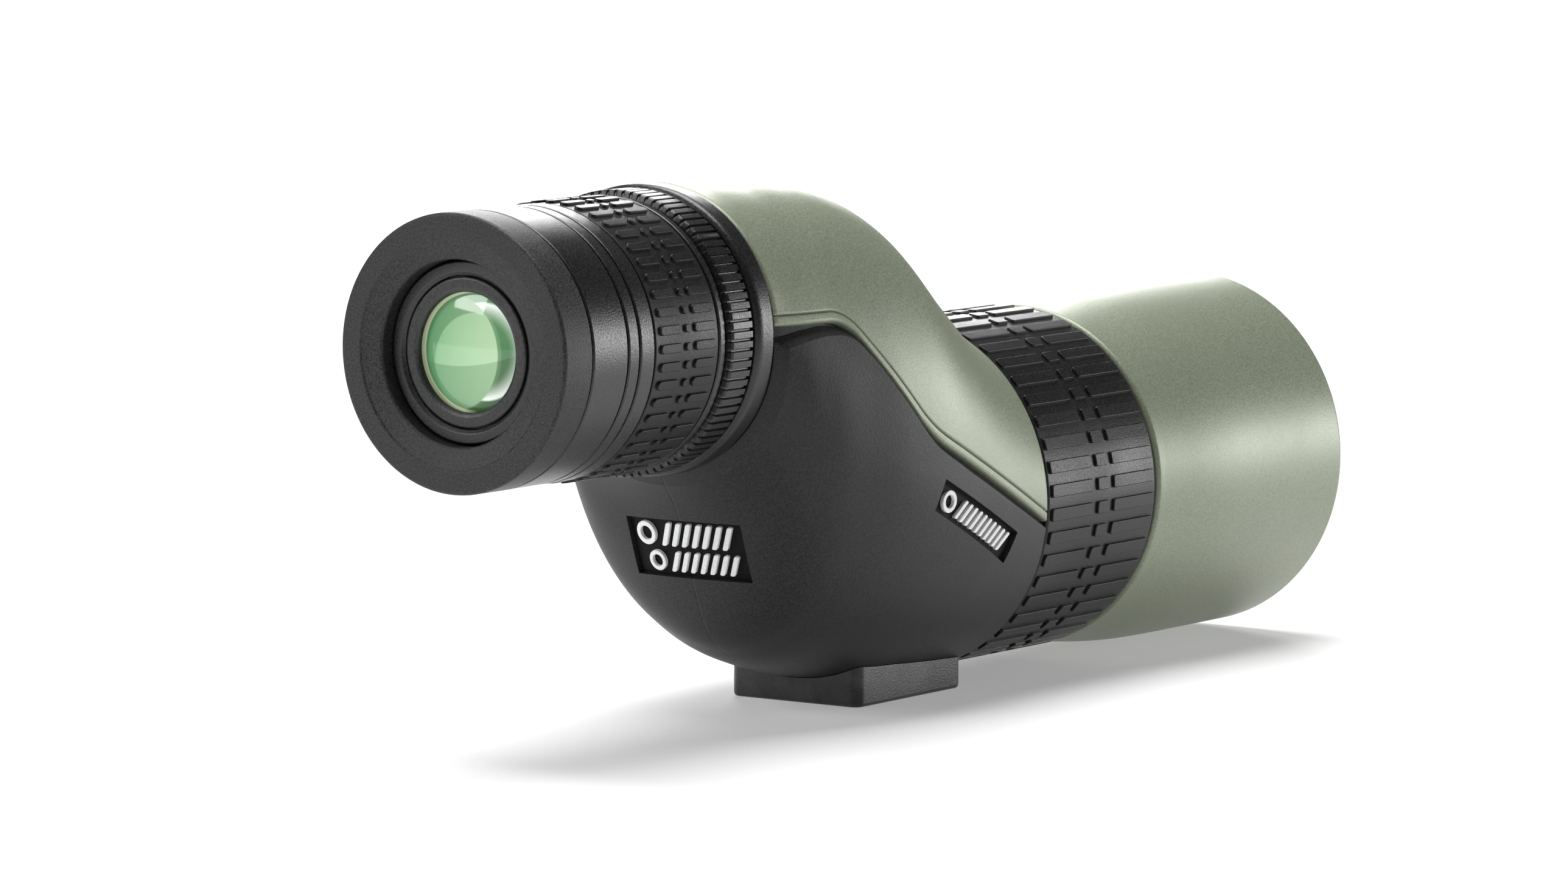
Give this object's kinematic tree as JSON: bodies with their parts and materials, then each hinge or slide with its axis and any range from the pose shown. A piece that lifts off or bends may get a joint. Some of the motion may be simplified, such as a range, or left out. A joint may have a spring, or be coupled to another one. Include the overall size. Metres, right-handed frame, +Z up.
{
  "type": "spotting scope",
  "caption": "Compact straight zoom spotting scope with focus ring, zoom ring, twist-up eyecup, eyepiece lock collar, prism housing and tripod foot.",
  "frame": {"origin": "on the underside of the tripod foot, below the middle of the scope's overall length and on its left-right plane of symmetry", "axes": "+Y out of the objective along the optical axis, -Y out of the eyepiece, +Z up, +X to the right seen from the eyepiece"},
  "size_m": [0.072, 0.2468, 0.1018],
  "materials": {
    "green_paint": "sage green satin paint with a fine metallic sparkle, on aluminium",
    "armour_rubber": "black satin overmoulded rubber with a fine grain",
    "grip_rubber": "black ribbed grip rubber",
    "eyecup_rubber": "dark grey textured eyecup rubber",
    "seal_rubber": "black nitrile",
    "satin_black_metal": "satin black anodised aluminium with a fine bead-blast grain",
    "housing_casting": "dark coated aluminium die casting",
    "matt_black_metal": "matt black anti-reflection paint on aluminium",
    "black_plastic": "black acetal",
    "coated_glass": "optical glass with a green anti-reflection coating",
    "clear_glass": "clear optical glass",
    "spring_steel": "bright spring steel strip",
    "screw_steel": "zinc plated steel",
    "bush_brass": "machined brass",
    "badge_plate": null
  },
  "bodies": {
    "main_body": {"upper_shell": "green_paint", "objective_barrel": "green_paint", "lower_armour": "armour_rubber", "focus_front_seal": "seal_rubber", "focus_rear_seal": "seal_rubber", "objective_seal": "seal_rubber", "eyepiece_seal": "seal_rubber", "tripod_foot": "satin_black_metal", "eyepiece_seat": "satin_black_metal", "eyepiece_barrel": "satin_black_metal", "index_ring": "satin_black_metal", "prism_housing": "housing_casting", "prism_bracket": "housing_casting", "guide_tube": "matt_black_metal", "objective_cell": "matt_black_metal", "objective_retaining_ring": "matt_black_metal", "eyecup_guide": "matt_black_metal", "eye_lens_cell": "matt_black_metal", "eye_lens_retainer": "matt_black_metal", "objective_crown_lens": "coated_glass", "objective_flint_lens": "coated_glass", "eye_lens_front": "coated_glass", "eye_lens_rear": "coated_glass", "prism_lower": "clear_glass", "prism_upper": "clear_glass", "prism_clip_lower": "spring_steel", "prism_clip_upper": "spring_steel", "foot_screw_1": "screw_steel", "foot_screw_2": "screw_steel", "foot_screw_3": "screw_steel", "foot_screw_4": "screw_steel", "bracket_screw_1": "screw_steel", "bracket_screw_2": "screw_steel", "seat_screw_1": "screw_steel", "seat_screw_2": "screw_steel", "seat_screw_3": "screw_steel", "tripod_bush": "bush_brass", "rear_badge": "badge_plate", "side_badge_right": "badge_plate", "side_badge_left": "badge_plate"},
    "focus_ring": {"focus_ring_core": "satin_black_metal", "focus_ring_rubber": "grip_rubber"},
    "focus_carriage": {"focus_lens_cell": "matt_black_metal", "focus_lens": "clear_glass", "focus_lens_retainer": "matt_black_metal", "focus_drive_pin": "screw_steel"},
    "zoom_ring": {"zoom_ring_core": "satin_black_metal", "zoom_ring_rubber": "grip_rubber", "zoom_scale_ring": "satin_black_metal", "zoom_drive_screw": "screw_steel", "zoom_cam_tube": "matt_black_metal"},
    "zoom_field_group": {"zoom_field_cell": "matt_black_metal", "zoom_field_lens": "clear_glass"},
    "zoom_middle_group": {"zoom_middle_cell": "matt_black_metal", "zoom_middle_lens": "clear_glass"},
    "eyecup_slider": {"eyecup_carrier": "black_plastic"},
    "eyecup": {"eyecup_sleeve": "satin_black_metal", "eyecup_rubber": "eyecup_rubber"},
    "lock_ring": {"lock_collar": "satin_black_metal"}
  },
  "joints": [
    {"name": "focus_ring_turn", "type": "hinge", "parent": "main_body", "child": "focus_ring", "pos_m": [0, 0.038, 0.0367], "axis": [0, 1, 0], "range_deg": [-145, 145]},
    {"name": "focus_carriage_slide", "type": "slide", "parent": "main_body", "child": "focus_carriage", "axis": [0, 1, 0], "range_m": [-0.006, 0.006]},
    {"name": "zoom_ring_turn", "type": "hinge", "parent": "main_body", "child": "zoom_ring", "pos_m": [0, -0.088, 0.0747], "axis": [0, 1, 0], "range_deg": [0, 110]},
    {"name": "zoom_field_slide", "type": "slide", "parent": "main_body", "child": "zoom_field_group", "axis": [0, -1, 0], "range_m": [0, 0.006]},
    {"name": "zoom_middle_slide", "type": "slide", "parent": "main_body", "child": "zoom_middle_group", "axis": [0, 1, 0], "range_m": [0, 0.006]},
    {"name": "eyecup_rise", "type": "slide", "parent": "main_body", "child": "eyecup_slider", "axis": [0, -1, 0], "range_m": [0, 0.009]},
    {"name": "eyecup_twist", "type": "hinge", "parent": "eyecup_slider", "child": "eyecup", "pos_m": [0, -0.115, 0.0747], "axis": [0, 1, 0], "range_deg": [0, 90]},
    {"name": "lock_collar_turn", "type": "hinge", "parent": "main_body", "child": "lock_ring", "pos_m": [0, -0.0715, 0.0747], "axis": [0, 1, 0], "range_deg": [0, 40]}
  ],
  "couplings": [
    {"joint": "focus_carriage_slide", "follows": "focus_ring_turn", "m_per_rad": 0.00237},
    {"joint": "zoom_field_slide", "follows": "zoom_ring_turn", "m_per_rad": 0.0031},
    {"joint": "zoom_middle_slide", "follows": "zoom_ring_turn", "m_per_rad": 0.0031},
    {"joint": "eyecup_rise", "follows": "eyecup_twist", "m_per_rad": 0.0057}
  ]
}
